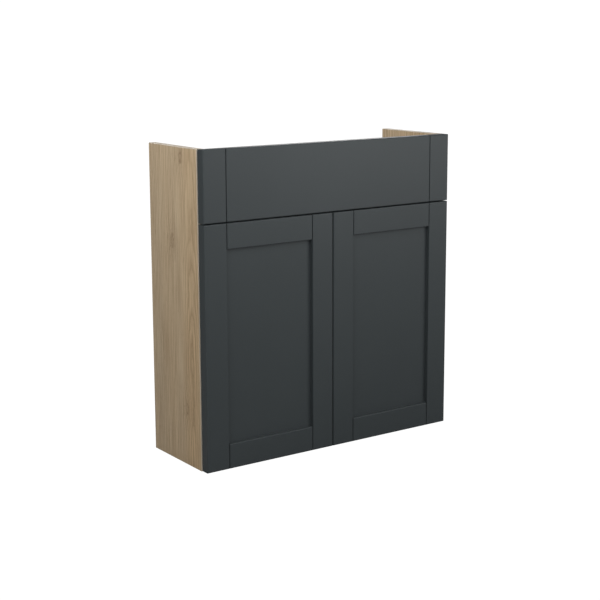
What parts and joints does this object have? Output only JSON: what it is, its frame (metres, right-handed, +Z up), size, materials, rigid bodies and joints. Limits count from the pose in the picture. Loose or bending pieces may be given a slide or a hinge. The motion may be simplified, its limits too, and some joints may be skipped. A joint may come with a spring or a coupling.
{
  "type": "vanity unit",
  "caption": "Slim wall-hung vanity unit with an open top, framed dark doors on concealed hinges under a false drawer front, and oak-effect sides",
  "frame": {"origin": "middle of the underside's outline, halfway between the door faces and the rear edges", "axes": "+Z up, +X to the right seen from the front, the doors face -Y"},
  "size_m": [0.6, 0.205, 0.625],
  "materials": {
    "oak_board": "fine-grained oak-effect laminate on chipboard, satin",
    "oak_edging": "oak-effect edging strip, satin",
    "anthracite_front": "dark grey wrapped fibreboard, satin",
    "beech": "raw beech",
    "plated_steel": "zinc-plated",
    "nickel_plate": "nickel-plated, semi-bright",
    "white_plastic": "moulded, matt",
    "clear_rubber": "soft, translucent"
  },
  "bodies": {
    "carcass": {"left_side": "oak_board", "right_side": "oak_board", "base": "oak_board", "front_rail": "oak_board", "rear_top_rail": "oak_board", "rear_low_rail": "oak_board", "shelf": "oak_board", "front_edging": "oak_edging", "top_edging": "oak_edging", "base_edging": "oak_edging", "shelf_edging": "oak_edging", "dowels": "beech", "cam_bolts": "plated_steel", "cam_locks": "nickel_plate", "shelf_pins": "plated_steel", "fascia_panel": "anthracite_front", "fascia_left_stile": "anthracite_front", "fascia_right_stile": "anthracite_front", "fascia_spacers": "white_plastic", "fascia_screws": "plated_steel", "fascia_brackets": "white_plastic", "bracket_screws": "plated_steel", "left_plates": "nickel_plate", "right_plates": "nickel_plate", "plate_screws": "plated_steel", "left_arms": "nickel_plate", "right_arms": "nickel_plate", "arm_pins": "plated_steel", "arm_screws": "plated_steel"},
    "left_outer_link": {"left_outer_links": "nickel_plate"},
    "left_inner_link": {"left_inner_links": "nickel_plate"},
    "left_door": {"left_hinge_stile": "anthracite_front", "left_meeting_stile": "anthracite_front", "left_top_rail": "anthracite_front", "left_low_rail": "anthracite_front", "left_panel": "anthracite_front", "left_cups": "nickel_plate", "left_cup_screws": "plated_steel", "left_cup_pins": "plated_steel", "left_bumpers": "clear_rubber"},
    "right_outer_link": {"right_outer_links": "nickel_plate"},
    "right_inner_link": {"right_inner_links": "nickel_plate"},
    "right_door": {"right_hinge_stile": "anthracite_front", "right_meeting_stile": "anthracite_front", "right_top_rail": "anthracite_front", "right_low_rail": "anthracite_front", "right_panel": "anthracite_front", "right_cups": "nickel_plate", "right_cup_screws": "plated_steel", "right_cup_pins": "plated_steel", "right_bumpers": "clear_rubber"}
  },
  "joints": [
    {"name": "left_outer_link_turn", "type": "hinge", "parent": "carcass", "child": "left_outer_link", "pos_m": [-0.2685, -0.065, 0.2425], "axis": [0, 0, 1], "range_deg": [0, 26.61]},
    {"name": "left_door_swing", "type": "hinge", "parent": "left_outer_link", "child": "left_door", "pos_m": [-0.2904, -0.0854, 0.2425], "axis": [0, 0, -1], "range_deg": [0, 121.6]},
    {"name": "left_inner_link_turn", "type": "hinge", "parent": "carcass", "child": "left_inner_link", "pos_m": [-0.2635, -0.0794, 0.2425], "axis": [0, 0, 1], "range_deg": [0, 15.21]},
    {"name": "right_outer_link_turn", "type": "hinge", "parent": "carcass", "child": "right_outer_link", "pos_m": [0.2685, -0.065, 0.2425], "axis": [0, 0, -1], "range_deg": [0, 26.61]},
    {"name": "right_door_swing", "type": "hinge", "parent": "right_outer_link", "child": "right_door", "pos_m": [0.2904, -0.0854, 0.2425], "axis": [0, 0, 1], "range_deg": [0, 121.6]},
    {"name": "right_inner_link_turn", "type": "hinge", "parent": "carcass", "child": "right_inner_link", "pos_m": [0.2635, -0.0794, 0.2425], "axis": [0, 0, -1], "range_deg": [0, 15.21]}
  ],
  "couplings": [
    {"joint": "left_outer_link_turn", "follows": "left_door_swing", "ratio": 0.21875},
    {"joint": "left_inner_link_turn", "follows": "left_door_swing", "ratio": 0.125},
    {"joint": "right_outer_link_turn", "follows": "right_door_swing", "ratio": 0.21875},
    {"joint": "right_inner_link_turn", "follows": "right_door_swing", "ratio": 0.125}
  ]
}
